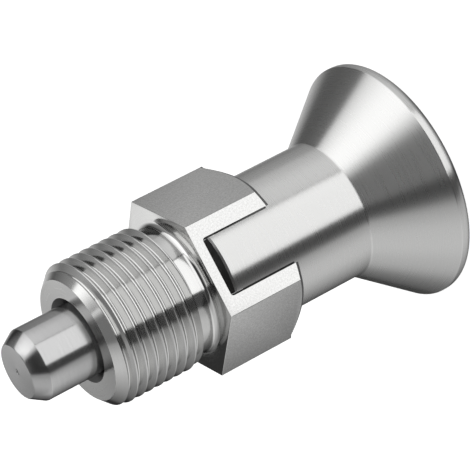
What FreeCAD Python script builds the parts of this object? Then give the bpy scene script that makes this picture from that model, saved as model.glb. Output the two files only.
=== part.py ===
import FreeCAD, Part
import math
import os

import Sketcher

# Indexing plunger with a conical pull knob and a slot lock, all turned from stainless steel.
# The plunger stands on the end face of its knob: Z runs along the axis, from the knob at z = 0 up
# to the nose of the indexing pin. The slot across the hexagon runs along Y, so the two slotted
# flats face -Y and +Y. Each piece is modelled from its own lower end and placed along Z.
# The shoulder of the knob rests on the rear face of the hexagon, which is where the spring holds it.

# Driving sizes, in millimetres, degrees or turns
SIZES = [
    ("rim_diameter", 33.6, "widest part of the conical knob"),
    ("rim_round", 1.2, "rounding of the knob's end face"),
    ("rim_band", 0.7, "straight band from the rounding to the edge of the cone"),
    ("cone_edge_round", 0.3, "rounding where the cone meets the rim"),
    ("cone_length", 9.4, "length of the knob's cone"),
    ("sleeve_diameter", 19.3, "plain part of the knob, and across its tongue"),
    ("sleeve_length", 12.2, "cone to the shoulder that rests on the hexagon"),
    ("sleeve_fillet", 0.6, "fillet between the sleeve and the cone"),
    ("tongue_end_chamfer", 0.25, "edge break on the tongue's end"),
    ("tongue_clearance", 0.25, "gap on each side of the tongue in its slot"),
    ("hexagon_across_flats", 22.0, "spanner size"),
    ("hexagon_length", 12.5, "rear face to front face"),
    ("hexagon_chamfer_inset", 0.4, "rear face's circle inside the flats"),
    ("hexagon_chamfer_angle", 30.0, "chamfer of the rear corners, from the rear face"),
    ("slot_width", 8.2, "locking slot across the hexagon"),
    ("slot_web", 1.4, "slot floor to the front face of the hexagon"),
    ("slot_corner_radius", 0.4, "corners of the slot floor"),
    ("slot_end_gap", 1.8, "slot floor to the tongue's end at rest"),
    ("lift_spare", 0.5, "tongue clear of the slot at full pull, so that the knob can be turned"),
    ("thread_diameter", 20.0, "outside of the M20 x 1.5 thread"),
    ("thread_section_length", 15.5, "front face of the hexagon to the end of the thread"),
    ("thread_end_chamfer", 1.5, "lead-in of the thread"),
    ("neck_depth", 1.15, "undercut below the outside of the thread"),
    ("neck_length", 2.3, "straight length of the undercut"),
    ("neck_flank_angle", 30.0, "flank from the undercut up to the thread"),
    ("neck_fillet", 0.8, "fillet between the undercut and the hexagon"),
    ("spring_wall", 2.4, "wall between the pin's bore and the slot"),
    ("mouth_chamfer", 0.9, "countersink at the bore's mouth"),
    ("pin_diameter", 10.0, "indexing pin"),
    ("pin_clearance", 0.05, "gap around the pin in its bore"),
    ("pin_protrusion", 9.1, "pin past the end of the thread at rest"),
    ("nose_chamfer_length", 2.0, "length of the cone on the pin's nose"),
    ("nose_chamfer_angle", 30.0, "half angle of the cone on the pin's nose"),
    ("nose_wall", 1.6, "solid metal left in the pin's nose"),
    ("pin_rear_chamfer", 0.3, "edge break on the pin's rear end"),
    ("stop_gap", 0.1, "pin to the spring wall at full pull"),
    ("rod_clearance", 0.05, "gap around the rod in the spring wall"),
    ("rod_thread_gap", 0.02, "gap around the rod in its tapped holes"),
    ("rod_end_chamfer", 0.5, "lead-in at each end of the rod"),
    ("rod_depth_in_knob", 19.8, "rod inside the knob, from the tongue's end"),
    ("rod_depth_in_pin", 4.8, "rod inside the pin, from the floor of its spring recess"),
    ("hole_spare", 0.6, "tapped hole past the rod's end"),
    ("hole_mouth_chamfer", 0.4, "countersink of the knob's tapped hole"),
    ("drill_point_angle", 59.0, "half angle of the drilled holes' points"),
    ("pin_wall", 0.9, "wall of the pin around its spring recess"),
    ("spring_wire", 0.8, "wire of the coil spring"),
    ("spring_side_clearance", 0.2, "gap around the spring inside the pin"),
    ("spring_seat_gap", 0.02, "gap at each end of the spring"),
    ("spring_rod_gap", 0.6, "gap between the spring and the pull rod"),
    ("spring_turns", 6.5, "turns of the coil spring, ends included"),
]
# How far a cutting outline runs past the metal that it cuts
OVERCUT = 1.0
# The spring's centre line: points on each turn, the pitch of the closed end turns in wire
# diameters, and the turns over which the coil opens from a closed turn to its full pitch
POINTS_PER_TURN = 24
CLOSED_PITCH = 1.03
OPENING_TURNS = 0.5
# Where an edge counts as lying at a size, and what a cut has to remove at least
SAME_PLACE = 1e-4
LEAST_CUT = 1e-3

document = FreeCAD.newDocument("indexing_plunger")
sheet = document.addObject("Spreadsheet::Sheet", "Sizes")
for row, (alias, number, meaning) in enumerate(SIZES, start=1):
    sheet.set(f"A{row}", alias)
    sheet.set(f"B{row}", str(number))
    sheet.set(f"C{row}", meaning)
    sheet.setAlias(f"B{row}", alias)
document.recompute()

# Heights above the hexagon's rear face, which rests on the knob's shoulder
SLOT_FLOOR = "(Sizes.hexagon_length - Sizes.slot_web)"
TONGUE_LENGTH = f"({SLOT_FLOOR} - Sizes.slot_end_gap)"
WALL_FRONT = f"({SLOT_FLOOR} + Sizes.spring_wall)"
BODY_END = "(Sizes.hexagon_length + Sizes.thread_section_length)"
PIN_REAR = f"({WALL_FRONT} + {TONGUE_LENGTH} + Sizes.lift_spare + Sizes.stop_gap)"
PIN_TIP = f"({BODY_END} + Sizes.pin_protrusion)"
# Heights above the knob's end face
CONE_START = "(Sizes.rim_round + Sizes.rim_band)"
CONE_END = f"({CONE_START} + Sizes.cone_length)"
SHOULDER = f"({CONE_END} + Sizes.sleeve_length)"
TONGUE_END = f"({SHOULDER} + {TONGUE_LENGTH})"
# The pin, the spring inside it and the rod inside the spring, from the outside in
PIN_RADIUS = "(Sizes.pin_diameter / 2)"
RECESS_RADIUS = f"({PIN_RADIUS} - Sizes.pin_wall)"
COIL_RADIUS = f"({RECESS_RADIUS} - Sizes.spring_side_clearance - Sizes.spring_wire / 2)"
ROD_RADIUS = f"({COIL_RADIUS} - Sizes.spring_wire / 2 - Sizes.spring_rod_gap)"
ROD_HOLE_RADIUS = f"({ROD_RADIUS} + Sizes.rod_thread_gap)"
# The tapped hole in the pin's nose, and the spring recess behind it
DRILL_POINT = f"({ROD_HOLE_RADIUS} / tan(Sizes.drill_point_angle * 1 deg))"
ROD_FRONT = f"({PIN_TIP} - Sizes.nose_wall - {DRILL_POINT} - Sizes.hole_spare)"
SPRING_TOP = f"({ROD_FRONT} - Sizes.rod_depth_in_pin)"


def value(expression):
    """Number that an expression on the sheet of sizes gives."""
    result = sheet.evalExpression(expression)
    return float(getattr(result, "Value", result))


def new_body(name, height):
    """Body for one piece, its lower end at a height along the axis."""
    body = document.addObject("PartDesign::Body", name)
    body.Label = name
    body.setExpression("Placement.Base.z", height)
    return body


def new_sketch(body, name, plane_role):
    """Sketch on one of the body's own planes."""
    plane = next(item for item in body.Origin.OriginFeatures if item.Role == plane_role)
    sketch = body.newObject("Sketcher::SketchObject", name)
    sketch.AttachmentSupport = [(plane, "")]
    sketch.MapMode = "FlatFace"
    return sketch


def fix_corner(sketch, line, kind, axis, expression):
    """Ties one coordinate of a line's first point to an expression, or to an axis for zero."""
    if expression == "0":
        sketch.addConstraint(Sketcher.Constraint("PointOnObject", line, 1, axis))
        return
    index = sketch.addConstraint(Sketcher.Constraint(kind, -1, 1, line, 1, value(expression)))
    sketch.setExpression(f"Constraints[{index}]", expression)


def draw_outline(sketch, corners):
    """Closed outline of straight lines; each corner is a pair of expressions, none negative."""
    points = [FreeCAD.Vector(value(across), value(along), 0) for across, along in corners]
    count = len(points)
    for index in range(count):
        sketch.addGeometry(Part.LineSegment(points[index], points[(index + 1) % count]), False)
    for index in range(count):
        sketch.addConstraint(Sketcher.Constraint("Coincident", index, 2, (index + 1) % count, 1))
    for index, (across, along) in enumerate(corners):
        fix_corner(sketch, index, "DistanceX", -2, across)
        fix_corner(sketch, index, "DistanceY", -1, along)


def turned(body, kind, name, corners):
    """Revolution or Groove about the body's axis of an outline given as radius and height."""
    sketch = new_sketch(body, f"{name}_outline", "XZ_Plane")
    draw_outline(sketch, corners)
    feature = body.newObject(f"PartDesign::{kind}", name)
    feature.Profile = sketch
    feature.ReferenceAxis = (sketch, ["V_Axis"])
    feature.Angle = 360
    document.recompute()
    return feature


def milled_across(body, name, corners):
    """Pocket right through the body along Y, of an outline given in X and height."""
    sketch = new_sketch(body, f"{name}_outline", "XZ_Plane")
    draw_outline(sketch, corners)
    pocket = body.newObject("PartDesign::Pocket", name)
    pocket.Profile = sketch
    pocket.SideType = "Symmetric"
    pocket.Type = "ThroughAll"
    document.recompute()
    return pocket


def turned_both_ways(body, name, feature):
    """The same cut on the far side of the axis."""
    pattern = body.newObject("PartDesign::PolarPattern", name)
    pattern.Originals = [feature]
    pattern.Axis = (next(item for item in body.Origin.OriginFeatures if item.Role == "Z_Axis"), [""])
    pattern.Angle = 360
    pattern.Occurrences = 2
    body.Tip = pattern
    document.recompute()
    return pattern


def ring_edges(feature, radius, height):
    """Names of the circular edges about the axis at a radius and a height."""
    names = []
    for number, edge in enumerate(feature.Shape.Edges, start=1):
        curve = edge.Curve
        if not isinstance(curve, Part.Circle):
            continue
        off_radius = abs(curve.Radius - value(radius))
        off_height = abs(curve.Center.z - value(height))
        if max(off_radius, off_height) < SAME_PLACE:
            names.append(f"Edge{number}")
    return names


def cross_edges(feature, across, height):
    """Names of the edges along Y at a distance to either side of the axis and a height."""
    names = []
    for number, edge in enumerate(feature.Shape.Edges, start=1):
        box = edge.BoundBox
        off_height = abs(box.ZMin - value(height))
        off_side = abs(abs(box.XMin) - value(across))
        if max(off_height, off_side, box.ZLength, box.XLength) < SAME_PLACE:
            names.append(f"Edge{number}")
    return names


def rounded(body, name, feature, edges, radius):
    """Fillet of the named edges."""
    if not edges:
        raise ValueError(f"{name} found no edge")
    fillet = body.newObject("PartDesign::Fillet", name)
    fillet.Base = (feature, edges)
    fillet.setExpression("Radius", radius)
    document.recompute()
    return fillet


def draw_hexagon(sketch, across_flats):
    """Regular hexagon about the origin with two of its sides along X."""
    corner_radius = f"{across_flats} / 2 / cos(30 deg)"
    radius = value(corner_radius)
    corners = [
        FreeCAD.Vector(radius * math.cos(math.radians(60 * k)), radius * math.sin(math.radians(60 * k)), 0)
        for k in range(6)
    ]
    for index in range(6):
        sketch.addGeometry(Part.LineSegment(corners[index], corners[(index + 1) % 6]), False)
    circle = sketch.addGeometry(Part.Circle(FreeCAD.Vector(), FreeCAD.Vector(0, 0, 1), radius), True)
    sketch.addConstraint(Sketcher.Constraint("Coincident", circle, 3, -1, 1))
    size = sketch.addConstraint(Sketcher.Constraint("Radius", circle, radius))
    sketch.setExpression(f"Constraints[{size}]", corner_radius)
    for index in range(6):
        sketch.addConstraint(Sketcher.Constraint("Coincident", index, 2, (index + 1) % 6, 1))
        sketch.addConstraint(Sketcher.Constraint("PointOnObject", index, 1, circle))
    for index in range(1, 6):
        sketch.addConstraint(Sketcher.Constraint("Equal", 0, index))
    sketch.addConstraint(Sketcher.Constraint("Horizontal", 1))


def make_pull_knob():
    """Conical knob: rim, cone, plain sleeve and the tongue milled across its front."""
    body = new_body("pull_knob", "0 mm")
    rim = "Sizes.rim_diameter / 2"
    sleeve = "Sizes.sleeve_diameter / 2"
    blank = turned(body, "Revolution", "knob_blank", [
        ("0", "0"),
        (rim, "0"),
        (rim, CONE_START),
        (sleeve, CONE_END),
        (sleeve, f"{TONGUE_END} - Sizes.tongue_end_chamfer"),
        (f"{sleeve} - Sizes.tongue_end_chamfer", TONGUE_END),
        ("0", TONGUE_END),
    ])
    blank = rounded(body, "rim_round", blank, ring_edges(blank, rim, "0"), "Sizes.rim_round")
    edge = ring_edges(blank, rim, CONE_START)
    blank = rounded(body, "cone_edge", blank, edge, "Sizes.cone_edge_round")
    rounded(body, "sleeve_fillet", blank, ring_edges(blank, sleeve, CONE_END), "Sizes.sleeve_fillet")

    half_tongue = "(Sizes.slot_width / 2 - Sizes.tongue_clearance)"
    outside = f"{sleeve} + {OVERCUT}"
    cheek = milled_across(body, "cheek", [
        (half_tongue, SHOULDER),
        (outside, SHOULDER),
        (outside, f"{TONGUE_END} + {OVERCUT}"),
        (half_tongue, f"{TONGUE_END} + {OVERCUT}"),
    ])
    turned_both_ways(body, "cheeks", cheek)

    mouth = f"{ROD_HOLE_RADIUS} + Sizes.hole_mouth_chamfer"
    floor = f"({TONGUE_END} - Sizes.rod_depth_in_knob - Sizes.hole_spare)"
    turned(body, "Groove", "rod_hole", [
        ("0", f"{floor} - {DRILL_POINT}"),
        (ROD_HOLE_RADIUS, floor),
        (ROD_HOLE_RADIUS, f"{TONGUE_END} - Sizes.hole_mouth_chamfer"),
        (mouth, TONGUE_END),
        (mouth, f"{TONGUE_END} + {OVERCUT}"),
        ("0", f"{TONGUE_END} + {OVERCUT}"),
    ])
    return body


def make_guide_body():
    """Hexagon with the locking slot, undercut, threaded section and the pin's stepped bore."""
    body = new_body("guide_body", SHOULDER)
    flats = new_sketch(body, "hexagon_outline", "XY_Plane")
    draw_hexagon(flats, "Sizes.hexagon_across_flats")
    hexagon = body.newObject("PartDesign::Pad", "hexagon")
    hexagon.Profile = flats
    hexagon.setExpression("Length", "Sizes.hexagon_length")
    document.recompute()

    chamfer_start = "(Sizes.hexagon_across_flats / 2 - Sizes.hexagon_chamfer_inset)"
    beyond = f"(Sizes.hexagon_across_flats / 2 / cos(30 deg) + {OVERCUT})"
    rise = f"({beyond} - {chamfer_start}) * tan(Sizes.hexagon_chamfer_angle * 1 deg)"
    turned(body, "Groove", "hexagon_chamfer", [
        (chamfer_start, "0"),
        (beyond, "0"),
        (beyond, rise),
    ])

    thread = "Sizes.thread_diameter / 2"
    neck = f"{thread} - Sizes.neck_depth"
    neck_end = "(Sizes.hexagon_length + Sizes.neck_length)"
    flank = "Sizes.neck_depth * tan(Sizes.neck_flank_angle * 1 deg)"
    shank = turned(body, "Revolution", "threaded_section", [
        ("0", SLOT_FLOOR),
        (neck, SLOT_FLOOR),
        (neck, neck_end),
        (thread, f"{neck_end} + {flank}"),
        (thread, f"{BODY_END} - Sizes.thread_end_chamfer"),
        (f"{thread} - Sizes.thread_end_chamfer", BODY_END),
        ("0", BODY_END),
    ])
    rounded(body, "neck_fillet", shank, ring_edges(shank, neck, "Sizes.hexagon_length"),
            "Sizes.neck_fillet")

    bore = f"({PIN_RADIUS} + Sizes.pin_clearance)"
    rod_way = f"{ROD_RADIUS} + Sizes.rod_clearance"
    mouth = f"{bore} + Sizes.mouth_chamfer"
    turned(body, "Groove", "stepped_bore", [
        ("0", f"{SLOT_FLOOR} - {OVERCUT}"),
        (rod_way, f"{SLOT_FLOOR} - {OVERCUT}"),
        (rod_way, WALL_FRONT),
        (bore, WALL_FRONT),
        (bore, f"{BODY_END} - Sizes.mouth_chamfer"),
        (mouth, BODY_END),
        (mouth, f"{BODY_END} + {OVERCUT}"),
        ("0", f"{BODY_END} + {OVERCUT}"),
    ])
    return add_locking_slot(body)


def add_locking_slot(body):
    """Slot milled across the hexagon from its rear face, open on the flats that face -Y and +Y."""
    half_width = "Sizes.slot_width / 2"
    half = milled_across(body, "half_slot", [
        ("0", "0"),
        (half_width, "0"),
        (half_width, SLOT_FLOOR),
        ("0", SLOT_FLOOR),
    ])
    slot = turned_both_ways(body, "locking_slot", half)
    rounded(body, "slot_corners", slot, cross_edges(slot, half_width, SLOT_FLOOR),
            "Sizes.slot_corner_radius")
    return body


def make_indexing_pin():
    """Pin with a coned nose, hollowed from behind for the spring and tapped for the rod."""
    body = new_body("indexing_pin", f"{SHOULDER} + {PIN_REAR}")
    length = f"({PIN_TIP} - {PIN_REAR})"
    recess_floor = f"{SPRING_TOP} - {PIN_REAR}"
    hole_floor = f"({ROD_FRONT} + Sizes.hole_spare - {PIN_REAR})"
    nose = f"{PIN_RADIUS} - Sizes.nose_chamfer_length * tan(Sizes.nose_chamfer_angle * 1 deg)"
    turned(body, "Revolution", "pin_blank", [
        ("0", length),
        (nose, length),
        (PIN_RADIUS, f"{length} - Sizes.nose_chamfer_length"),
        (PIN_RADIUS, "Sizes.pin_rear_chamfer"),
        (f"{PIN_RADIUS} - Sizes.pin_rear_chamfer", "0"),
        ("0", "0"),
    ])
    turned(body, "Groove", "spring_recess", [
        ("0", "0"),
        (RECESS_RADIUS, "0"),
        (RECESS_RADIUS, recess_floor),
        (ROD_HOLE_RADIUS, recess_floor),
        (ROD_HOLE_RADIUS, hole_floor),
        ("0", f"{hole_floor} + {DRILL_POINT}"),
    ])
    return body


def make_pull_rod():
    """Rod that is screwed into the pin and into the knob."""
    rod_start = f"({TONGUE_END} - Sizes.rod_depth_in_knob)"
    body = new_body("pull_rod", rod_start)
    length = f"({SHOULDER} + {ROD_FRONT} - {rod_start})"
    turned(body, "Revolution", "rod", [
        ("0", "0"),
        (f"{ROD_RADIUS} - Sizes.rod_end_chamfer", "0"),
        (ROD_RADIUS, "Sizes.rod_end_chamfer"),
        (ROD_RADIUS, f"{length} - Sizes.rod_end_chamfer"),
        (f"{ROD_RADIUS} - Sizes.rod_end_chamfer", length),
        ("0", length),
    ])
    return body


def spring_heights(turns, wire, length):
    """Height of the wire's centre at each point: one closed turn at each end, open ones between."""
    end_pitch = wire * CLOSED_PITCH
    count = int(round(turns * POINTS_PER_TURN))
    steps = [(index + 0.5) / POINTS_PER_TURN for index in range(count)]
    opened = []
    for turn in steps:
        from_end = min(turn, turns - turn)
        share = min(max((from_end - 1.0) / OPENING_TURNS, 0.0), 1.0)
        opened.append(share * share * (3 - 2 * share))
    rise = length - wire - end_pitch * turns
    unit = rise / sum(opened)
    heights = [wire / 2]
    for share in opened:
        heights.append(heights[-1] + end_pitch / POINTS_PER_TURN + unit * share)
    return heights


def make_return_spring():
    """Compression spring between the spring wall and the floor of the pin's recess."""
    wire = value("Sizes.spring_wire")
    turns = value("Sizes.spring_turns")
    coil_radius = value(COIL_RADIUS)
    length = value(f"{SPRING_TOP} - {WALL_FRONT} - 2 * Sizes.spring_seat_gap")
    points = []
    for index, height in enumerate(spring_heights(turns, wire, length)):
        angle = 2 * math.pi * index / POINTS_PER_TURN
        points.append(FreeCAD.Vector(coil_radius * math.cos(angle), coil_radius * math.sin(angle), height))
    line = Part.BSplineCurve()
    line.interpolate(points)
    spine = document.addObject("Part::Feature", "spring_centre_line")
    spine.Shape = Part.Wire([line.toShape()])

    section = document.addObject("Part::Circle", "spring_section")
    section.setExpression("Radius", "Sizes.spring_wire / 2")
    turn = FreeCAD.Rotation(FreeCAD.Vector(0, 0, 1), line.tangent(line.FirstParameter)[0])
    section.Placement = FreeCAD.Placement(points[0], turn)
    document.recompute()

    spring = document.addObject("Part::Sweep", "return_spring")
    spring.Label = "return_spring"
    spring.Sections = [section]
    spring.Spine = (spine, ["Edge1"])
    spring.Solid = True
    spring.Frenet = True
    spring.setExpression("Placement.Base.z", f"{SHOULDER} + {WALL_FRONT} + Sizes.spring_seat_gap")
    document.recompute()
    return spring


def check_document():
    """Stops if an object failed or a cut removed nothing."""
    for item in document.Objects:
        if "Invalid" in item.State or "Error" in item.State:
            raise RuntimeError(f"{item.Name} failed: {item.State}")
    for item in document.Objects:
        if item.TypeId in ("PartDesign::Pocket", "PartDesign::Groove"):
            before = item.BaseFeature.Shape.Volume
            if item.Shape.Volume > before - LEAST_CUT:
                raise RuntimeError(f"{item.Name} cuts nothing")


def write_pieces(pieces):
    """Writes each piece to a STEP file named after it."""
    os.makedirs("parts", exist_ok=True)
    for piece in pieces:
        shape = piece.Shape
        if shape.isNull() or not shape.isValid() or len(shape.Solids) != 1:
            raise RuntimeError(f"{piece.Label} is not one valid solid")
        shape.exportStep(f"parts/{piece.Label}.step")
        box = shape.BoundBox
        print(f"{piece.Label}: {shape.Volume:.1f} mm3, z {box.ZMin:.2f} to {box.ZMax:.2f}")


pieces = [
    make_pull_knob(),
    make_guide_body(),
    make_indexing_pin(),
    make_pull_rod(),
    make_return_spring(),
]
document.recompute()
check_document()
write_pieces(pieces)
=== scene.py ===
"""Looks of a stainless-steel indexing plunger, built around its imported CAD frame."""

import logging
import math
from dataclasses import dataclass
from enum import Enum
from typing import Callable, Sequence

import bpy
from mathutils import Matrix, Vector


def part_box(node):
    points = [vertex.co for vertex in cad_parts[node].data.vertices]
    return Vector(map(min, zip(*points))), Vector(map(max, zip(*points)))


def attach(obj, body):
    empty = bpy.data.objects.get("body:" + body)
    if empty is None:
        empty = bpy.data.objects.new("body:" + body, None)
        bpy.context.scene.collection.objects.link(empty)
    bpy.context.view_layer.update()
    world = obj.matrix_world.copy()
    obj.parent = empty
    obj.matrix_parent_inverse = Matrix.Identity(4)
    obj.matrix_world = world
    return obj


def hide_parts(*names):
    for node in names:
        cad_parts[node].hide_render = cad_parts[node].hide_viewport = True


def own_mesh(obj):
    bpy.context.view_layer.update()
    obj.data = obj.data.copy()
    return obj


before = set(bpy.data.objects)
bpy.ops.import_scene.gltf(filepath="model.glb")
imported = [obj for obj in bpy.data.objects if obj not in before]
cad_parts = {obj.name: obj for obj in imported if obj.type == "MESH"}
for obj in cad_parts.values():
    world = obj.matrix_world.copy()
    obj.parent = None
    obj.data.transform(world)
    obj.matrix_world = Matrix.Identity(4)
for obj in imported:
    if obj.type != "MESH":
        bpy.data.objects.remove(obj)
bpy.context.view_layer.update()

LOG = logging.getLogger("indexing_plunger")
MM = 0.001
RIM_SEGMENTS = 256
PIN_SEGMENTS = 192
HOLE_SEGMENTS = 96
SMOOTH_BELOW = math.radians(24)
MERGE_WITHIN = 1e-7
Point = tuple[float, float]
Span = tuple[float, float]


def cad_box(node: str) -> tuple[list[float], list[float]]:
    """Lowest and highest corner of a CAD node's box in millimetres, to a thousandth."""
    low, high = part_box(node)
    return [round(value / MM, 3) for value in low], [round(value / MM, 3) for value in high]


BODY_LOW, BODY_HIGH = cad_box("guide_body")
PIN_LOW, PIN_HIGH = cad_box("indexing_pin")
ROD_LOW, ROD_HIGH = cad_box("pull_rod")
KNOB_LOW, KNOB_HIGH = cad_box("pull_knob")
# Radial gaps in millimetres: round what slides in the body, and round the screwed ends of the rod.
SLIDING_GAP = 0.05
SCREWED_GAP = 0.02
# Each drilled hole for the rod runs this far past its end.
ROD_END_ROOM = 0.6
# A turned outline can't shrink to a point, so a cone ends in a ring of this share of its radius.
DRILL_TIP_SHARE = 1 / 8
# A face or a point this near a surface, in millimetres, lies on it.
NEAR = 0.02
# A normal whose slope is less than this is square to the axis.
SQUARE = 0.01
# An edge whose ends are less than this apart, in millimetres, is one that a boolean left over.
NO_LENGTH = 1e-4


def linear(hex_colour: str) -> tuple[float, float, float, float]:
    """Turns an sRGB hex colour into linear light.

    Args:
        hex_colour: six hex digits, such as "c8c8c6".

    Returns:
        Red, green, blue and an alpha of one.
    """
    parts = [int(hex_colour[index:index + 2], 16) / 255 for index in (0, 2, 4)]
    light = [part / 12.92 if part <= 0.04045 else ((part + 0.055) / 1.055) ** 2.4 for part in parts]
    return (light[0], light[1], light[2], 1.0)


def add_node(
    tree: bpy.types.NodeTree,
    kind: str,
    settings: dict[str, object] | None = None,
    inputs: dict[str | int, object] | None = None,
) -> bpy.types.Node:
    """Adds one node with its settings, and sets or links its inputs.

    Args:
        tree: the node tree that gets the node.
        kind: the node's class name.
        settings: values of the node's own properties.
        inputs: for each input socket, a value or the output socket that feeds it.

    Returns:
        The new node.
    """
    node = tree.nodes.new(kind)
    for name, value in (settings or {}).items():
        setattr(node, name, value)
    for key, value in (inputs or {}).items():
        if isinstance(value, bpy.types.NodeSocket):
            tree.links.new(value, node.inputs[key])
        else:
            node.inputs[key].default_value = value
    return node


def arc(centre: Point, radius: float, start: float, end: float, steps: int = 8) -> list[Point]:
    """Points of a round stretch of an outline.

    Args:
        centre: distance from the axis and height of the arc's centre.
        radius: the arc's radius.
        start: first angle in degrees, 0 pointing away from the axis and 90 up.
        end: last angle in degrees.
        steps: number of straight steps.

    Returns:
        The points, both ends included.
    """
    angles = [math.radians(start + (end - start) * step / steps) for step in range(steps + 1)]
    return [(centre[0] + radius * math.cos(a), centre[1] + radius * math.sin(a)) for a in angles]


class Joining(Enum):
    """How one solid acts on another."""

    CUT = "DIFFERENCE"
    ADD = "UNION"
    BOUND = "INTERSECT"


class Bench:
    """Modelling steps in edit mode that the pieces share; outlines are in millimetres."""

    @staticmethod
    def clear() -> None:
        """Deselects every object, because an operator acts on all that is selected."""
        bpy.ops.object.select_all(action="DESELECT")

    @staticmethod
    def take(piece: bpy.types.Object) -> None:
        """Makes one object the active and only selected one.

        Args:
            piece: the object.
        """
        Bench.clear()
        piece.select_set(True)
        bpy.context.view_layer.objects.active = piece

    @staticmethod
    def settle(name: str) -> bpy.types.Object:
        """Leaves edit mode, and puts the new object's place into its mesh.

        Args:
            name: name that the object and its mesh get.

        Returns:
            The object, at the origin and unturned.
        """
        if bpy.context.object.mode != "OBJECT":
            bpy.ops.object.mode_set(mode="OBJECT")
        piece = bpy.context.object
        piece.name = piece.data.name = name
        bpy.ops.object.transform_apply(location=True, rotation=True, scale=True)
        return piece

    @staticmethod
    def turn(name: str, outline: Sequence[Point], segments: int = RIM_SEGMENTS) -> bpy.types.Object:
        """Turns a closed solid: a disc is extruded ring by ring, and each ring is resized.

        Args:
            name: name of the new object.
            outline: radius and height of each ring in millimetres, from one end face to the other.
            segments: vertices on a ring.

        Returns:
            The solid.
        """
        Bench.clear()
        radius, height = outline[0]
        bpy.ops.mesh.primitive_circle_add(
            vertices=segments, radius=radius * MM, fill_type="NGON", location=(0, 0, height * MM))
        bpy.ops.object.mode_set(mode="EDIT")
        bpy.ops.mesh.select_mode(type="FACE")
        bpy.ops.mesh.select_all(action="SELECT")
        for next_radius, next_height in outline[1:]:
            rise = (0, 0, (next_height - height) * MM)
            bpy.ops.mesh.extrude_region_move(TRANSFORM_OT_translate={"value": rise})
            ratio = next_radius / radius
            bpy.ops.transform.resize(
                value=(ratio, ratio, 1), center_override=(0, 0, next_height * MM))
            radius, height = next_radius, next_height
        bpy.ops.mesh.select_all(action="SELECT")
        bpy.ops.mesh.normals_make_consistent(inside=False)
        return Bench.settle(name)

    @staticmethod
    def block(name: str, low: Sequence[float], high: Sequence[float]) -> bpy.types.Object:
        """Adds a box between two corners.

        Args:
            name: name of the new object.
            low: lowest corner in millimetres.
            high: highest corner.

        Returns:
            The box.
        """
        Bench.clear()
        middle = [(a + b) / 2 * MM for a, b in zip(low, high)]
        size = [(b - a) * MM for a, b in zip(low, high)]
        bpy.ops.mesh.primitive_cube_add(size=1, location=middle, scale=size)
        return Bench.settle(name)

    @staticmethod
    def bevel_edges(
        piece: bpy.types.Object,
        chosen: Callable[[Vector, Vector], bool],
        width: float,
        segments: int = 2,
    ) -> None:
        """Bevels the edges that a test picks by the places of their ends.

        Args:
            piece: the object.
            chosen: tells from the two ends, in millimetres, whether an edge is bevelled.
            width: width of the bevel in millimetres.
            segments: faces across the bevel.
        """
        Bench.take(piece)
        bpy.ops.object.mode_set(mode="EDIT")
        bpy.ops.mesh.select_mode(type="EDGE")
        bpy.ops.mesh.select_all(action="DESELECT")
        bpy.ops.object.mode_set(mode="OBJECT")
        places = [vertex.co / MM for vertex in piece.data.vertices]
        for edge in piece.data.edges:
            edge.select = chosen(places[edge.vertices[0]], places[edge.vertices[1]])
        bpy.ops.object.mode_set(mode="EDIT")
        bpy.ops.mesh.bevel(offset=width * MM, offset_type="OFFSET", segments=segments, affect="EDGES")
        bpy.ops.object.mode_set(mode="OBJECT")

    @staticmethod
    def combine(piece: bpy.types.Object, tool: bpy.types.Object, joining: Joining) -> None:
        """Applies one boolean and removes the object that it used.

        Args:
            piece: the object that is changed.
            tool: the object that cuts it, is added to it or bounds it.
            joining: what the tool does.
        """
        Bench.take(piece)
        modifier = piece.modifiers.new("combine", "BOOLEAN")
        modifier.object = tool
        modifier.operation = joining.value
        modifier.solver = "MANIFOLD"
        bpy.ops.object.modifier_apply(modifier=modifier.name)
        bpy.data.objects.remove(tool, do_unlink=True)

    @staticmethod
    def slice_across(height: float, drop_below: bool, drop_above: bool) -> None:
        """Cuts the mesh that is being edited at a height, drops one side and closes the cut.

        Args:
            height: where it is cut, in millimetres.
            drop_below: drops what lies below.
            drop_above: drops what lies above.
        """
        bpy.ops.mesh.select_all(action="SELECT")
        bpy.ops.mesh.bisect(
            plane_co=(0, 0, height * MM), plane_no=(0, 0, 1), use_fill=True,
            clear_inner=drop_below, clear_outer=drop_above, threshold=MERGE_WITHIN)

    @staticmethod
    def split(piece: bpy.types.Object, height: float, name: str) -> bpy.types.Object:
        """Cuts a closed solid across at a height, and closes both halves.

        Args:
            piece: the solid, which keeps its lower half.
            height: where it is cut, in millimetres.
            name: name of the upper half.

        Returns:
            The upper half as an object of its own.
        """
        Bench.take(piece)
        bpy.ops.object.duplicate()
        upper = bpy.context.object
        upper.name = upper.data.name = name
        for half, is_upper in ((piece, False), (upper, True)):
            Bench.take(half)
            bpy.ops.object.mode_set(mode="EDIT")
            Bench.slice_across(height, drop_below=is_upper, drop_above=not is_upper)
            bpy.ops.object.mode_set(mode="OBJECT")
            bpy.ops.object.shade_smooth_by_angle(angle=SMOOTH_BELOW)
        return upper

    @staticmethod
    def finish(piece: bpy.types.Object) -> None:
        """Merges doubled vertices and shades round faces smooth and edges sharp.

        Args:
            piece: the object.
        """
        Bench.take(piece)
        bpy.ops.object.mode_set(mode="EDIT")
        bpy.ops.mesh.select_all(action="SELECT")
        bpy.ops.mesh.remove_doubles(threshold=MERGE_WITHIN)
        bpy.ops.mesh.normals_make_consistent(inside=False)
        bpy.ops.object.mode_set(mode="OBJECT")
        bpy.ops.object.shade_smooth_by_angle(angle=SMOOTH_BELOW)


class Tooling(Enum):
    """How a steel surface was made, which gives its grain a direction."""

    TURNED = "turned"
    DRAWN = "drawn"
    MILLED = "milled"
    PICKLED = "pickled"


# How many times longer than wide the marks are that run along the axis.
MARK_LENGTH = {Tooling.DRAWN: 25, Tooling.MILLED: 6, Tooling.PICKLED: 1}
TURNED_MARKS_PER_RADIAN = 1.5
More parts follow.
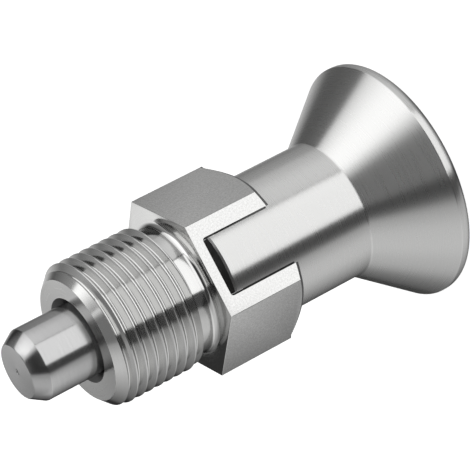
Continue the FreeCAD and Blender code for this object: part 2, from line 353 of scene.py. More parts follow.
# Nearly all values of the noise lie in this range.
NOISE_RANGE: Span = (0.3, 0.7)
# Sockets of a Mix node that mixes colours, which has others of the same names.
MIX_FIRST, MIX_SECOND, MIX_RESULT = 6, 7, 2
# Light spreads across the tool's lines, and across rings is a quarter turn from the radial tangent.
ACROSS_RINGS = 0.25


@dataclass(frozen=True)
class SteelFinish:
    """Bare stainless steel with the fine lines that its tool left; lengths are in millimetres."""

    name: str
    tooling: Tooling
    colour: str = "cdcdcc"
    roughness: float = 0.2
    anisotropy: float = 0.8
    line_pitch: float = 0.22
    line_depth: float = 0.0006
    unevenness: float = 0.12
    mottle: float = 0.03
    edge_tint: str = "c4c4c4"

    def turned_coordinates(
        self, tree: bpy.types.NodeTree, place: bpy.types.NodeSocket, across: float,
    ) -> bpy.types.NodeSocket:
        """Coordinates for rings: across them, on a cylinder and on an end face alike, and along.

        Args:
            tree: the material's nodes.
            place: place on the piece.
            across: line pitches in a metre.

        Returns:
            A vector in line pitches.
        """
        parts = add_node(tree, "ShaderNodeSeparateXYZ", inputs={"Vector": place})
        flat = add_node(tree, "ShaderNodeCombineXYZ",
                        inputs={"X": parts.outputs["X"], "Y": parts.outputs["Y"]})
        radius = add_node(tree, "ShaderNodeVectorMath", {"operation": "LENGTH"},
                          {0: flat.outputs["Vector"]})
        way = add_node(tree, "ShaderNodeMath", {"operation": "SUBTRACT"},
                       {0: parts.outputs["Z"], 1: radius.outputs["Value"]})
        angle = add_node(tree, "ShaderNodeMath", {"operation": "ARCTAN2"},
                         {0: parts.outputs["Y"], 1: parts.outputs["X"]})
        rings = add_node(tree, "ShaderNodeMath", {"operation": "MULTIPLY"},
                         {0: way.outputs["Value"], 1: across})
        along = add_node(tree, "ShaderNodeMath", {"operation": "MULTIPLY"},
                         {0: angle.outputs["Value"], 1: TURNED_MARKS_PER_RADIAN})
        return add_node(tree, "ShaderNodeCombineXYZ", inputs={
            "X": rings.outputs["Value"], "Y": along.outputs["Value"]}).outputs["Vector"]

    def coordinates(self, tree: bpy.types.NodeTree) -> bpy.types.NodeSocket:
        """Coordinates in which the tool's lines are one unit apart and long.

        Args:
            tree: the material's nodes.

        Returns:
            A vector in line pitches: across the lines, and slowly along them.
        """
        place = add_node(tree, "ShaderNodeTexCoord").outputs["Object"]
        across = 1 / (self.line_pitch * MM)
        if self.tooling is Tooling.TURNED:
            return self.turned_coordinates(tree, place, across)
        scale = (across, across, across / MARK_LENGTH[self.tooling])
        stretch = add_node(tree, "ShaderNodeVectorMath", {"operation": "MULTIPLY"},
                           {0: place, 1: scale})
        return stretch.outputs["Vector"]

    def shade(self, amount: float) -> tuple[float, float, float, float]:
        """The steel's colour times one more or less than one, for its mottling."""
        red, green, blue, alpha = linear(self.colour)
        return (red * (1 + amount), green * (1 + amount), blue * (1 + amount), alpha)

    def make(self) -> bpy.types.Material:
        """Builds the material.

        Returns:
            The material, with its lines as bump, as uneven gloss and as a slight mottling.
        """
        material = bpy.data.materials.new(self.name)
        material.use_nodes = True
        tree = material.node_tree
        tree.nodes.clear()
        lines = add_node(tree, "ShaderNodeTexNoise", {"noise_dimensions": "3D"}, {
            "Vector": self.coordinates(tree), "Scale": 1.0, "Detail": 3.0, "Roughness": 0.6})
        bump = add_node(tree, "ShaderNodeBump", inputs={
            "Strength": 1.0, "Distance": self.line_depth * MM, "Height": lines.outputs["Fac"]})
        span = {"Value": lines.outputs["Fac"], "From Min": NOISE_RANGE[0], "From Max": NOISE_RANGE[1]}
        gloss = add_node(tree, "ShaderNodeMapRange", inputs={
            **span, "To Min": self.roughness * (1 - self.unevenness),
            "To Max": self.roughness * (1 + self.unevenness)})
        spread = add_node(tree, "ShaderNodeMapRange", inputs=span)
        tint = add_node(tree, "ShaderNodeMix", {"data_type": "RGBA"}, {
            "Factor": spread.outputs["Result"],
            MIX_FIRST: self.shade(-self.mottle), MIX_SECOND: self.shade(self.mottle)})
        tangent = add_node(tree, "ShaderNodeTangent", {"direction_type": "RADIAL", "axis": "Z"})
        surface = add_node(tree, "ShaderNodeBsdfPrincipled", inputs={
            "Base Color": tint.outputs[MIX_RESULT], "Metallic": 1.0,
            "Specular Tint": linear(self.edge_tint),
            "Roughness": gloss.outputs["Result"], "Anisotropic": self.anisotropy,
            "Anisotropic Rotation": ACROSS_RINGS if self.tooling is Tooling.TURNED else 0.0,
            "Tangent": tangent.outputs["Tangent"], "Normal": bump.outputs["Normal"]})
        add_node(tree, "ShaderNodeOutputMaterial", inputs={"Surface": surface.outputs["BSDF"]})
        return material


# Fine turned stainless steel: its rings spread each light across them, so the knob has a silky sheen
# with soft bright bands along its axis. Real rings are under 0.1 mm apart; these are drawn coarser,
# and faint, because they wouldn't show otherwise.
KNOB_STEEL = SteelFinish(
    "fine_turned_knob_steel", Tooling.TURNED, roughness=0.28, anisotropy=0.9, line_pitch=0.16,
    line_depth=0.00004, unevenness=0.05, mottle=0.012)
# Stainless steel cut by a threading tool: smooth flanks, on which lights are crisp and crests and
# roots are thin bright lines. The tool's lines are drawn coarser than the real ones.
THREAD_STEEL = SteelFinish(
    "thread_cut_steel", Tooling.TURNED, roughness=0.15, anisotropy=0.6, line_depth=0.0002)
# Stainless steel faced on a lathe: duller than the thread, so it mirrors the pin softly.
FACE_STEEL = SteelFinish(
    "faced_front_steel", Tooling.TURNED, roughness=0.3, anisotropy=0.3, line_depth=0.0001)
# Stainless steel turned by the side of a broad tool: almost a mirror, with hard edges to the lights.
NECK_STEEL = SteelFinish(
    "turned_undercut_steel", Tooling.TURNED, roughness=0.12, anisotropy=0.4, line_depth=0.00008)
# Drawn stainless bar, pickled: even, fine-grained and a little mottled, with no direction. The real
# grain is a few hundredths of a millimetre; it is drawn as coarse as it needs to show.
FLAT_STEEL = SteelFinish(
    "pickled_bar_steel", Tooling.PICKLED, roughness=0.22, anisotropy=0.0, line_pitch=0.25,
    line_depth=0.0006, mottle=0.12)
# Stainless steel milled or bored: dull, and lights are only a faint glow on it. Its colour, far darker
# than the steel's own, is painted shade in the slot, the gaps beside the tongue, the hexagon's rear and the
# bore.
MILLED_STEEL = SteelFinish(
    "dull_milled_steel", Tooling.MILLED, "8a8a8a", roughness=0.45, anisotropy=0.0, line_depth=0.0006)
# Hardened stainless steel, ground: smooth, with clear bands of light. Its colour is darker than the
# turned pieces' as painted shade, for the dimmer light that falls on the pin. The grinding lines are
# drawn coarser than the real ones, and very faint.
PIN_STEEL = SteelFinish(
    "ground_pin_steel", Tooling.TURNED, "b2b2b2", roughness=0.19, anisotropy=0.4, line_depth=0.00008,
    unevenness=0.08)
# Drawn stainless bar and spring wire: satin, with marks along the axis. Both lie inside.
ROD_STEEL = SteelFinish("drawn_rod_steel", Tooling.DRAWN, roughness=0.25, anisotropy=0.0)
SPRING_STEEL = SteelFinish("drawn_spring_wire", Tooling.DRAWN, roughness=0.3, anisotropy=0.0)


def hand_over(
    piece: bpy.types.Object,
    body: str,
    node: str,
    finishes: Sequence[SteelFinish],
    choose: Callable[[Vector, Vector], SteelFinish] | None = None,
) -> None:
    """Dresses a finished piece, and lets it ride and stand for its CAD node.

    Args:
        piece: the finished object.
        body: the moving body that it rides on.
        node: the CAD node that it stands for.
        finishes: its materials, in the order of its slots.
        choose: picks a face's finish from its middle in millimetres and its normal; without it
            every face has the first finish.
    """
    piece.data.materials.clear()
    for finish in finishes:
        piece.data.materials.append(finish.make())
    for face in piece.data.polygons:
        finish = choose(face.center / MM, face.normal) if choose else finishes[0]
        face.material_index = finishes.index(finish)
    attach(piece, body)
    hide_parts(node)
    LOG.info("%s: %d faces, on %s", piece.name, len(piece.data.polygons), body)


@dataclass
class GuideBody:
    """Threaded body: hexagon with the locking slot, undercut, M20 x 1.5 thread and bore."""

    rear: float = BODY_LOW[2]
    front: float = 36.0
    end: float = BODY_HIGH[2]
    across_flats: float = 2 * BODY_HIGH[1]
    corner_circle: float = 10.6
    corner_angle: float = 30.0
    edge_break: float = 0.05
    rear_break: float = 0.3
    slot_half_width: float = 4.1
    slot_floor: float = 34.6
    slot_corner: float = 0.4
    neck_radius: float = 8.85
    neck_end: float = 38.3
    neck_fillet: float = 0.8
    neck_sheen_end: float = 39.5
    flank_angle: float = 30.0
    thread_radius: float = 9.98
    pitch: float = 1.5
    crest_round: float = 0.06
    root_round_per_pitch: float = 0.144
    turns_behind_front: float = 2.84
    steps_per_turn: int = 144
    turn_merge: float = 0.001
    lead_in: float = 1.92
    past_crest: float = 0.4
    bore_radius: float = PIN_HIGH[0] + SLIDING_GAP
    bore_floor: float = 37.0
    mouth_radius: float = 5.95
    rod_hole_radius: float = ROD_HIGH[0] + SLIDING_GAP
    overlap: float = 0.8
    past_face: float = 0.5
    spare: float = 2.0
    front_slice: float = 0.1

    def corner_cone(self, radius: float) -> float:
        """Height of the cone that cuts the hexagon's rear corners, at a distance from the axis."""
        return self.rear + (radius - self.corner_circle) * math.tan(math.radians(self.corner_angle))

    def hexagon(self) -> bpy.types.Object:
        """Hexagon with broken edges and the rear corners turned to a cone.

        Returns:
            The hexagonal block.
        """
        corner = self.across_flats / 2 / math.cos(math.radians(30))
        Bench.clear()
        bpy.ops.mesh.primitive_circle_add(
            vertices=6, radius=corner * MM, fill_type="NGON", location=(0, 0, self.rear * MM),
            rotation=(0, 0, math.radians(30)))
        bpy.ops.object.mode_set(mode="EDIT")
        bpy.ops.mesh.select_all(action="SELECT")
        bpy.ops.mesh.extrude_region_move(
            TRANSFORM_OT_translate={"value": (0, 0, (self.front - self.rear) * MM)})
        bpy.ops.mesh.select_all(action="SELECT")
        bpy.ops.mesh.normals_make_consistent(inside=False)
        block = Bench.settle("slotted_hexagon_body")
        Bench.bevel_edges(block, lambda a, b: a.z + b.z > 2 * self.rear + NEAR, self.edge_break)
        reach = corner + self.spare
        blank = Bench.turn("corner_blank", [
            (self.corner_circle - self.spare, self.rear), (self.corner_circle, self.rear),
            (reach, self.corner_cone(reach)), (reach, self.front + self.spare)])
        Bench.combine(block, blank, Joining.BOUND)
        Bench.bevel_edges(block, self.on_rear_outline, self.rear_break, segments=1)
        return block

    def on_rear_outline(self, one: Vector, other: Vector) -> bool:
        """Tells whether an edge lies where the rear cone meets a flat.

        Args:
            one: first end of the edge in millimetres.
            other: its other end.

        Returns:
            Whether the edge has a length, and both its ends lie on the cone and on the same flat.
        """
        for end in (one, other):
            radius = math.hypot(end.x, end.y)
            inside_flats = radius < self.across_flats / 2 - NEAR / 2
            if inside_flats or abs(end.z - self.corner_cone(radius)) > NEAR:
                return False
        # The cone leaves an edge of no length at both corners on X, and its bevel would spoil them.
        span = other - one
        return math.hypot(span.x, span.y) > NO_LENGTH and self.same_flat(one, other)

    def same_flat(self, one: Vector, other: Vector) -> bool:
        """Tells whether two points lie on one flat of the hexagon.

        Args:
            one: a point in millimetres.
            other: the other point.

        Returns:
            Whether a flat holds both.
        """
        for side in range(6):
            angle = math.radians(30 + 60 * side)
            way = Vector((math.cos(angle), math.sin(angle), 0))
            if all(abs(point.dot(way) - self.across_flats / 2) < NEAR for point in (one, other)):
                return True
        return False

    def thread_profile(self) -> list[Point]:
        """One pitch of the thread: half a crest, flank, round root, flank and half a crest.

        Returns:
            Distance from the axis and height over the middle of the first crest.
        """
        # A metric thread has 60 degrees between its flanks and a crest of an eighth of the pitch, and
        # its sharp root lies 7/8 of the flanks' triangle below the crest.
        crest = self.thread_radius - self.crest_round
        crest_start = self.pitch / 16 - self.crest_round * math.tan(math.radians(30))
        sharp_root = self.thread_radius - 7 / 8 * math.sqrt(3) / 2 * self.pitch
        root_round = self.root_round_per_pitch * self.pitch
        return [
            *arc((crest, crest_start), self.crest_round, 0, 60, 3),
            *arc((sharp_root + 2 * root_round, self.pitch / 2), root_round, 240, 120, 6),
            *arc((crest, self.pitch - crest_start), self.crest_round, -60, 0, 3),
            (self.thread_radius, self.pitch + crest_start)]

    def thread_turns(self) -> bpy.types.Object:
        """Turns of the thread: one pitch of its profile, screwed along the axis and closed flat.

        Returns:
            A threaded rod that runs past both ends of the threaded section.
        """
        profile = self.thread_profile()
        bottom = self.front - self.turns_behind_front * self.pitch
        Bench.clear()
        # A small plane merged at its centre gives the profile's first point.
        bpy.ops.mesh.primitive_plane_add(size=MM)
        bpy.ops.object.mode_set(mode="EDIT")
        bpy.ops.mesh.select_mode(type="VERT")
        bpy.ops.mesh.select_all(action="SELECT")
        bpy.ops.mesh.merge(type="CENTER")
        radius, height = profile[0][0], bottom + profile[0][1]
        bpy.ops.transform.translate(value=(radius * MM, 0, height * MM))
        for next_radius, offset in profile[1:]:
            step = ((next_radius - radius) * MM, 0, (bottom + offset - height) * MM)
            bpy.ops.mesh.extrude_vertices_move(TRANSFORM_OT_translate={"value": step})
            radius, height = next_radius, bottom + offset
        turned = Bench.settle("thread_turns")
        # Two turns more than the section needs, because the slanted ends are cut off.
        screw = turned.modifiers.new("turns", "SCREW")
        screw.screw_offset = self.pitch * MM
        screw.iterations = math.ceil((self.end - bottom) / self.pitch) + 2
        screw.steps = screw.render_steps = self.steps_per_turn
        bpy.ops.object.modifier_apply(modifier=screw.name)
        bpy.ops.object.mode_set(mode="EDIT")
        bpy.ops.mesh.select_all(action="SELECT")
        bpy.ops.mesh.remove_doubles(threshold=self.turn_merge * MM)
        # Both cuts lie where the screwed surface goes right round.
        Bench.slice_across(bottom + 1.5 * self.pitch, drop_below=True, drop_above=False)
        Bench.slice_across(self.end + self.pitch / 2, drop_below=False, drop_above=True)
        bpy.ops.mesh.select_all(action="SELECT")
        bpy.ops.mesh.normals_make_consistent(inside=False)
        bpy.ops.object.mode_set(mode="OBJECT")
        return turned

    def front_section(self) -> bpy.types.Object:
        """Undercut and thread, bounded by the lead-in and by the flank of the undercut.

        Returns:
            The turned front section, which starts inside the hexagon.
        """
        reach = self.thread_radius + self.past_crest
        fillet = arc((self.neck_radius + self.neck_fillet, self.front + self.neck_fillet),
                     self.neck_fillet, 270, 180)
        flank = (reach - self.neck_radius) * math.tan(math.radians(self.flank_angle))
        envelope = Bench.turn("front_envelope", [
            (fillet[0][0], self.front - self.overlap), *fillet,
            (self.neck_radius, self.neck_end), (reach, self.neck_end + flank),
            (reach, self.end - self.lead_in), (reach - self.lead_in, self.end)])
        section = self.thread_turns()
        Bench.combine(section, envelope, Joining.BOUND)
        return section

    def cut_slot(self, block: bpy.types.Object) -> None:
        """Mills the locking slot across the hexagon's rear face.

        Args:
            block: the body, which is cut.
        """
        reach = self.across_flats
        cutter = Bench.block(
            "slot_cutter", (-self.slot_half_width, -reach, self.rear - self.spare),
            (self.slot_half_width, reach, self.slot_floor))
        Bench.bevel_edges(
            cutter, lambda a, b: min(a.z, b.z) > self.slot_floor - NEAR and abs(a.y - b.y) > NEAR,
            self.slot_corner, segments=4)
        Bench.combine(block, cutter, Joining.CUT)

    def cut_bore(self, block: bpy.types.Object) -> None:
        """Bores the body for the pin and the rod, with a countersunk mouth.

        Args:
            block: the body, which is cut.
        """
        flare = self.mouth_radius - self.bore_radius
        bore = Bench.turn("bore", [
            (self.rod_hole_radius, self.slot_floor - self.spare / 2),
            (self.rod_hole_radius, self.bore_floor), (self.bore_radius, self.bore_floor),
            (self.bore_radius, self.end - flare),
            (self.mouth_radius + self.past_face, self.end + self.past_face)], HOLE_SEGMENTS)
        Bench.combine(block, bore, Joining.CUT)

    def build(self) -> None:
        """Builds the whole body and hands it over."""
        block = self.hexagon()
        Bench.combine(block, self.front_section(), Joining.ADD)
        self.cut_slot(block)
        self.cut_bore(block)
        Bench.finish(block)
        # The body is split so that only its front is mirrored in the other pieces: the photo shows no
        # slot wall mirrored in the polished tongue. The cut lies just behind the hexagon's front
        # face, so that this face is on the front mesh and the undercut mirrors it.
        threaded = Bench.split(block, self.front - self.front_slice, "threaded_front")
        # Faces off the flats get the milled finish, whose darker colour is painted shade.
        hand_over(block, "guide", "guide_body", [FLAT_STEEL, MILLED_STEEL],
                  self.hexagon_finish)
        hand_over(threaded, "guide", "guide_body",
                  [THREAD_STEEL, NECK_STEEL, FLAT_STEEL, MILLED_STEEL, FACE_STEEL], self.front_finish)
        block.visible_glossy = False

    def hexagon_finish(self, middle: Vector, normal: Vector) -> SteelFinish:
        """Picks the bar's own flats, or the milled and turned faces of the hexagon, which get a darker
        colour as painted shade.
        """
        on_flat = abs(middle.x * normal.x + middle.y * normal.y - self.across_flats / 2) < NEAR
        return FLAT_STEEL if on_flat and abs(normal.z) < SQUARE else MILLED_STEEL

    def front_finish(self, middle: Vector, normal: Vector) -> SteelFinish:
        """Picks the end face, the dull bore with its darker colour as painted shade, the bar's flats, the
        polished undercut or the thread.

        Args:
            middle: middle of a face in millimetres.
            normal: its normal.

        Returns:
            The face's finish.
        """
        if normal.z > 1 - SQUARE:
            return FACE_STEEL if middle.z > self.end - NEAR else NECK_STEEL
        if math.hypot(middle.x, middle.y) < self.mouth_radius - NEAR:
            # The bore's darker colour is painted shade down the hole.
            return MILLED_STEEL
        if middle.z < self.front:
            return FLAT_STEEL
        return NECK_STEEL if middle.z < self.neck_sheen_end else THREAD_STEEL


@dataclass
class ReturnSpring:
    """Compression spring inside the pin, with closed end turns."""

    seat: float = GuideBody.bore_floor
    low: float = 37.02
    high: float = 52.07
    coil_radius: float = 3.5
    wire: float = 0.8
    turns: float = 6.5
    closed_pitch: float = 0.83
    points_per_turn: int = 32
    wire_resolution: int = 3
    keep: float = 0.3495

    def height(self, turn: float) -> float:
        """Height of the wire's centre after some turns.

        Args:
            turn: turns from the lower end.

        Returns:
            Height in millimetres; the first and last turns lie closed.
        """
        start, end = self.low + self.wire / 2, self.high - self.wire / 2
        rise = (end - start - 2 * self.closed_pitch) / (self.turns - 2)
        if turn < 1:
            return start + self.closed_pitch * turn
        if turn > self.turns - 1:
            return end - self.closed_pitch * (self.turns - turn)
        return start + self.closed_pitch + rise * (turn - 1)

    def build(self) -> None:
        """Winds the wire along its helix and hands it over, fixed on the guide."""
        curve = bpy.data.curves.new("coiled_spring", "CURVE")
        curve.dimensions = "3D"
        curve.bevel_depth = self.wire / 2 * MM
        curve.bevel_resolution = self.wire_resolution
        curve.use_fill_caps = True
        wire = curve.splines.new("POLY")
        steps = round(self.turns * self.points_per_turn)
        wire.points.add(steps)
        for step, point in enumerate(wire.points):
            turn = self.turns * step / steps
            angle = 2 * math.pi * turn
            point.co = (self.coil_radius * math.cos(angle) * MM, self.coil_radius * math.sin(angle) * MM,
                        self.height(turn) * MM, 1)
        coil = bpy.data.objects.new("coiled_spring", curve)
        bpy.context.collection.objects.link(coil)
        Bench.take(coil)
        bpy.ops.object.convert(target="MESH")
        coil = bpy.context.object
        Bench.finish(coil)
        hand_over(coil, "guide", "return_spring", [SPRING_STEEL])
        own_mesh(coil)


@dataclass
class IndexingPin:
    """Ground pin with a coned nose, hollow behind for the spring and tapped for the rod."""

    radius: float = PIN_HIGH[0]
    rear: float = PIN_LOW[2]
    tip: float = PIN_HIGH[2]
    nose_radius: float = 3.845
    nose_start: float = 58.6
    nose_flare: float = 0.02
    edge_break: float = 0.12
    shoulder_break: float = 0.05
    rear_chamfer: float = 0.3
    recess_radius: float = 4.1
    recess_floor: float = 52.086
    hole_radius: float = ROD_HIGH[0] + SCREWED_GAP
    hole_end: float = ROD_HIGH[2] + ROD_END_ROOM
    drill_point: float = 1.3
    mark_radius: float = 0.42
    mark_depth: float = 0.12
    mark_floor_share: float = 0.7
    mark_centre_share: float = 1 / 6

    def build(self) -> None:
        """Turns the pin from its tip, with its centre mark, to its rear and on into its recess."""
        mark_floor = self.tip - self.mark_depth
        pin = Bench.turn("ground_indexing_pin", [
            (self.mark_radius * self.mark_centre_share, mark_floor),
            (self.mark_radius * self.mark_floor_share, mark_floor), (self.mark_radius, self.tip),
            (self.nose_radius - self.edge_break, self.tip),
            (self.nose_radius + self.nose_flare, self.tip - self.edge_break),
            (self.radius - self.shoulder_break, self.nose_start + self.edge_break),
            (self.radius, self.nose_start - self.shoulder_break),
            (self.radius, self.rear + self.rear_chamfer), (self.radius - self.rear_chamfer, self.rear),
            (self.recess_radius, self.rear), (self.recess_radius, self.recess_floor),
            (self.hole_radius, self.recess_floor), (self.hole_radius, self.hole_end),
            (self.hole_radius * DRILL_TIP_SHARE, self.hole_end + self.drill_point)], PIN_SEGMENTS)
        Bench.finish(pin)
        # The pin's darker colour is painted shade, not the steel's own tone.
        hand_over(pin, "plunger", "indexing_pin", [PIN_STEEL])


@dataclass
class PullRod:
    """Drawn rod that joins the pin to the knob."""

    radius: float = ROD_HIGH[0]
    low: float = ROD_LOW[2]
    high: float = ROD_HIGH[2]
    chamfer: float = 0.5

    def build(self) -> None:
        """Turns the rod with its two lead-ins."""
        inner = self.radius - self.chamfer
        rod = Bench.turn("drawn_pull_rod", [
            (inner, self.low), (self.radius, self.low + self.chamfer),
            (self.radius, self.high - self.chamfer), (inner, self.high)], HOLE_SEGMENTS)
        Bench.finish(rod)
        hand_over(rod, "plunger", "pull_rod", [ROD_STEEL])


@dataclass
class PullKnob:
    """Turned pull knob: rim, cone, sleeve, and the tongue milled across its front."""

    rim_radius: float = KNOB_HIGH[0]
    rim_round: float = 1.2
    rim_top: float = 1.9
    edge_round: float = 0.3
    cone_top: float = 11.3
    sleeve_radius: float = 9.65
    sleeve_fillet: float = 0.6
    shoulder: float = BODY_LOW[2]
    tongue_half_width: float = 3.85
    tongue_end: float = KNOB_HIGH[2]
    tongue_chamfer: float = 0.25
    turned_skin: float = 0.3
    hole_radius: float = ROD_HIGH[0] + SCREWED_GAP
    hole_floor: float = ROD_LOW[2] - ROD_END_ROOM
    hole_chamfer: float = 0.4
    drill_point: float = 1.4
    spare: float = 2.0

    def outline(self) -> list[Point]:
        """Outline of the turned blank, from the end face up to the tongue's end.

        Returns:
            Radius and height of each ring in millimetres.
        """
        slope = math.degrees(math.atan2(self.rim_radius - self.sleeve_radius, self.cone_top - self.rim_top))
        edge_run = self.edge_round * math.tan(math.radians((90 - slope) / 2))
        fillet_run = self.sleeve_fillet * math.tan(math.radians(slope / 2))
        return [
            *arc((self.rim_radius - self.rim_round, self.rim_round), self.rim_round, 270, 360, 10),
            *arc((self.rim_radius - self.edge_round, self.rim_top - edge_run), self.edge_round,
                 0, slope, 5),
            *arc((self.sleeve_radius + self.sleeve_fillet, self.cone_top + fillet_run),
                 self.sleeve_fillet, 180 + slope, 180, 5),
            (self.sleeve_radius, self.shoulder),
            (self.sleeve_radius, self.tongue_end - self.tongue_chamfer),
            (self.sleeve_radius - self.tongue_chamfer, self.tongue_end)]

    def build(self) -> None:
        """Turns the knob, mills its cheeks, drills it and hands it over."""
        knob = Bench.turn("conical_pull_knob", self.outline())
        reach = self.sleeve_radius + self.spare
        for side in (-1, 1):
            near, far = sorted((side * self.tongue_half_width, side * reach))
            cheek = Bench.block("cheek_cutter", (near, -reach, self.shoulder),
                                (far, reach, self.tongue_end + self.spare))
            Bench.combine(knob, cheek, Joining.CUT)
        hole = Bench.turn("rod_hole", [
            (self.hole_radius * DRILL_TIP_SHARE, self.hole_floor - self.drill_point),
            (self.hole_radius, self.hole_floor), (self.hole_radius, self.tongue_end - self.hole_chamfer),
            (self.hole_radius + 2 * self.hole_chamfer, self.tongue_end + self.hole_chamfer)],
            HOLE_SEGMENTS)
        Bench.combine(knob, hole, Joining.CUT)
        Bench.finish(knob)
        # The milled cheeks, shoulder and tongue end get a darker colour: painted shade in the gaps beside
        # the slot.
        hand_over(knob, "plunger", "pull_knob", [KNOB_STEEL, MILLED_STEEL],
                  self.knob_finish)

    def knob_finish(self, middle: Vector, normal: Vector) -> SteelFinish:
        """Picks the turned outside, or the milled cheeks, shoulder and end of the tongue, which get a
        darker colour as painted shade.
        """
        inside = math.hypot(middle.x, middle.y) < self.sleeve_radius - self.turned_skin
        return MILLED_STEEL if middle.z > self.shoulder - NEAR and inside else KNOB_STEEL


@dataclass(frozen=True)
class SoftBox:
    """Light panel around the plunger, by direction in degrees.

    Azimuth 0 lies behind the viewer and 90 on the side of +X; elevation 90 lies above. The edges are
    the widths over which the panel fades, and its glow runs from its low to its high end.
    """

    name: str
    azimuth: Span
    azimuth_edges: Span
    elevation: Span
    elevation_edges: Span
    glow: Span


PANELS = (
    # Behind the viewer: the bright band on everything that faces the camera, and the dark gap by it.
    SoftBox("front", (-20.5, 43.5), (1.5, 1.5), (-45, 13), (8, 11), (1.5, 1.45)),
    SoftBox("front_low", (-21, 43), (10, 4), (-72, -53), (18, 6), (0.25, 0.35)),
    SoftBox("dark_gap", (-46, -24), (3, 3), (-40, 0), (15, 15), (0.04, 0.04)),
    # On the side of +X: the second band, brighter upwards, where the cone and the pin's nose mirror it.
    SoftBox("upper_corner", (45.5, 46), (20, 0.5), (28, 60), (12, 20), (1.35, 1.2)),
    SoftBox("right", (46.5, 102), (1, 2), (-30, 44), (42, 24), (0.54, 1.65)),
    SoftBox("right_core", (46.5, 72), (1, 30), (-30, 44), (42, 24), (0.22, 0.3)),
    # On the side of -X: the wide grey that falls off towards the outline.
    SoftBox("left", (-92, -53), (72, 10), (-60, 50), (14, 28), (0.52, 0.53)),
    SoftBox("left_core", (-86, -76), (25, 22), (-60, 50), (14, 28), (0.2, 0.2)),
    SoftBox("left_level", (-115, -62), (25, 12), (-6, 7), (7, 7), (0.28, 0.28)),
    SoftBox("left_tail", (-151, -110), (11, 30), (-45, 45), (15, 20), (0.15, 0.15)),
    # Beyond the plunger: what its outline and the end faces mirror.
    SoftBox("right_back", (104, 135), (2, 25), (-34, -14), (38, 14), (0.6, 0.4)),
    SoftBox("right_back_high", (104, 140), (2, 25), (18, 50), (16, 20), (0.16, 0.42)),
    SoftBox("back", (168, 179.2), (26, 2.5), (-40, 30), (20, 20), (1.1, 1.25)),
    SoftBox("back_left", (180, 184), (2, 12), (-40, 0), (20, 20), (0.12, 0.12)),
    # All round: a little light from above, and enough that no surface is black.
    SoftBox("top", (-180, 180), (1, 1), (66, 90), (14, 1), (0.2, 0.2)),
    SoftBox("ambient", (-180, 180), (1, 1), (-90, 90), (1, 1), (0.05, 0.05)),
)


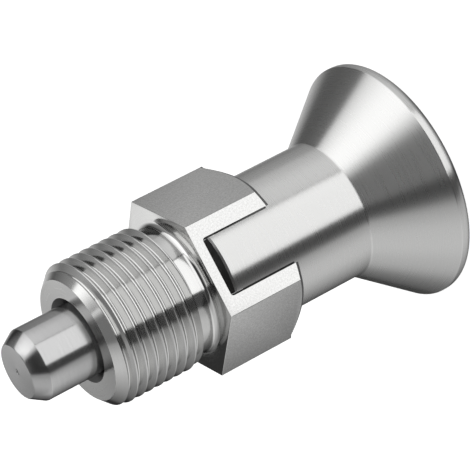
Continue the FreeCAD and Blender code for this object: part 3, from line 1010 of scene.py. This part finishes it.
@dataclass
class Studio:
    """Pale floor, soft panels all round and the camera at the photo's view.

    The camera's place is in metres and its angles are in degrees, from a fit of the outline to the
    photo. It stands in the plunger's plane of symmetry, where the gap beside the tongue is closed.
    """

    place: tuple[float, float, float] = (0.0, -0.30902, 0.17347)
    pitch: float = -25.663
    heading: float = 0.499
    roll: float = -117.38
    lens: float = 200.22
    sensor: float = 36.0
    clip: Span = (0.01, 50.0)
    floor_size: float = 6.0
    floor_paint: str = "f2f2f2"
    floor_roughness: float = 0.9
    floor_glow: float = 0.75

    def fade(
        self, tree: bpy.types.NodeTree, value: bpy.types.NodeSocket, low: float, high: float,
        falling: bool = False,
    ) -> bpy.types.NodeSocket:
        """Soft edge of a panel: rises or falls between two angles.

        Args:
            tree: the world's nodes.
            value: the angle in degrees.
            low: angle where the step starts.
            high: angle where it ends.
            falling: goes from one to zero instead.

        Returns:
            The step, from zero to one.
        """
        ends = {"To Min": 1.0, "To Max": 0.0} if falling else {"To Min": 0.0, "To Max": 1.0}
        return add_node(tree, "ShaderNodeMapRange", {"interpolation_type": "SMOOTHSTEP"},
                        {"Value": value, "From Min": low, "From Max": high, **ends}).outputs["Result"]

    def reckon(self, tree: bpy.types.NodeTree, operation: str, *values: object) -> bpy.types.NodeSocket:
        """One arithmetic step on the world's nodes, from numbers or sockets in their order."""
        return add_node(tree, "ShaderNodeMath", {"operation": operation},
                        dict(enumerate(values))).outputs["Value"]

    def panel_light(
        self, tree: bpy.types.NodeTree, panel: SoftBox,
        azimuth: bpy.types.NodeSocket, elevation: bpy.types.NodeSocket,
    ) -> bpy.types.NodeSocket:
        """Light of one panel in a direction.

        Args:
            tree: the world's nodes.
            panel: the panel.
            azimuth: azimuth of the direction in degrees.
            elevation: its elevation.

        Returns:
            The light, which is zero past the panel's edges.
        """
        middle = sum(panel.azimuth) / 2
        half = (panel.azimuth[1] - panel.azimuth[0]) / 2
        off = self.reckon(tree, "WRAP", self.reckon(tree, "SUBTRACT", azimuth, middle), 180.0, -180.0)
        low, high = panel.elevation
        light = add_node(tree, "ShaderNodeMapRange", inputs={
            "Value": elevation, "From Min": low, "From Max": high,
            "To Min": panel.glow[0], "To Max": panel.glow[1]}).outputs["Result"]
        edges = (
            self.fade(tree, off, -half - panel.azimuth_edges[0], -half),
            self.fade(tree, off, half, half + panel.azimuth_edges[1], falling=True),
            self.fade(tree, elevation, low - panel.elevation_edges[0], low),
            self.fade(tree, elevation, high, high + panel.elevation_edges[1], falling=True))
        for edge in edges:
            light = self.reckon(tree, "MULTIPLY", light, edge)
        return light

    def surroundings(self) -> None:
        """World with the light panels, plain white where the camera looks at it."""
        world = bpy.data.worlds.new("light_tent")
        bpy.context.scene.world = world
        world.use_nodes = True
        tree = world.node_tree
        tree.nodes.clear()
        way = add_node(tree, "ShaderNodeTexCoord").outputs["Generated"]
        parts = add_node(tree, "ShaderNodeSeparateXYZ", inputs={"Vector": way})
        back = self.reckon(tree, "MULTIPLY", parts.outputs["Y"], -1.0)
        azimuth = self.reckon(tree, "DEGREES", self.reckon(tree, "ARCTAN2", parts.outputs["X"], back))
        elevation = self.reckon(tree, "DEGREES", self.reckon(tree, "ARCSINE", parts.outputs["Z"]))
        total = self.panel_light(tree, PANELS[0], azimuth, elevation)
        for panel in PANELS[1:]:
            total = self.reckon(tree, "ADD", total, self.panel_light(tree, panel, azimuth, elevation))
        seen = add_node(tree, "ShaderNodeLightPath").outputs["Is Camera Ray"]
        shown = add_node(tree, "ShaderNodeMix", {"data_type": "FLOAT"},
                         {"Factor": seen, "A": total, "B": 1.0})
        background = add_node(tree, "ShaderNodeBackground", inputs={
            "Color": (1, 1, 1, 1), "Strength": shown.outputs["Result"]})
        add_node(tree, "ShaderNodeOutputWorld", inputs={"Surface": background.outputs["Background"]})

    def floor(self) -> None:
        """Pale floor under the knob, which it stays under when the knob is pulled."""
        Bench.clear()
        bpy.ops.mesh.primitive_plane_add(size=self.floor_size)
        floor = bpy.context.object
        floor.name = floor.data.name = "pale_floor"
        # Panels lie below the horizon too, and a mirrored floor would hide them.
        floor.visible_glossy = False
        material = bpy.data.materials.new("pale_floor_paint")
        material.use_nodes = True
        shader = material.node_tree.nodes["Principled BSDF"]
        shader.inputs["Base Color"].default_value = linear(self.floor_paint)
        shader.inputs["Roughness"].default_value = self.floor_roughness
        shader.inputs["Emission Color"].default_value = (1, 1, 1, 1)
        shader.inputs["Emission Strength"].default_value = self.floor_glow
        floor.data.materials.append(material)
        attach(floor, "plunger")

    def camera(self) -> None:
        """Camera at the photo's view, rolled because the photo shows the plunger lying."""
        data = bpy.data.cameras.new("photo_view")
        data.lens = self.lens
        data.sensor_width = self.sensor
        data.clip_start, data.clip_end = self.clip
        camera = bpy.data.objects.new("photo_view", data)
        bpy.context.collection.objects.link(camera)
        turn = (Matrix.Rotation(math.radians(-self.heading), 4, "Z")
                @ Matrix.Rotation(math.radians(90 + self.pitch), 4, "X")
                @ Matrix.Rotation(math.radians(self.roll), 4, "Z"))
        camera.matrix_world = Matrix.Translation(self.place) @ turn
        bpy.context.scene.camera = camera

    def build(self) -> None:
        """Sets up the whole studio."""
        bpy.context.scene.view_settings.view_transform = "Standard"
        self.surroundings()
        self.floor()
        self.camera()


def main() -> None:
    """Builds the studio and the plunger's pieces."""
    logging.basicConfig(level=logging.INFO, format="%(name)s: %(message)s")
    Studio().build()
    for assembly in (GuideBody(), ReturnSpring(), IndexingPin(), PullRod(), PullKnob()):
        assembly.build()


if __name__ == "__main__":
    main()
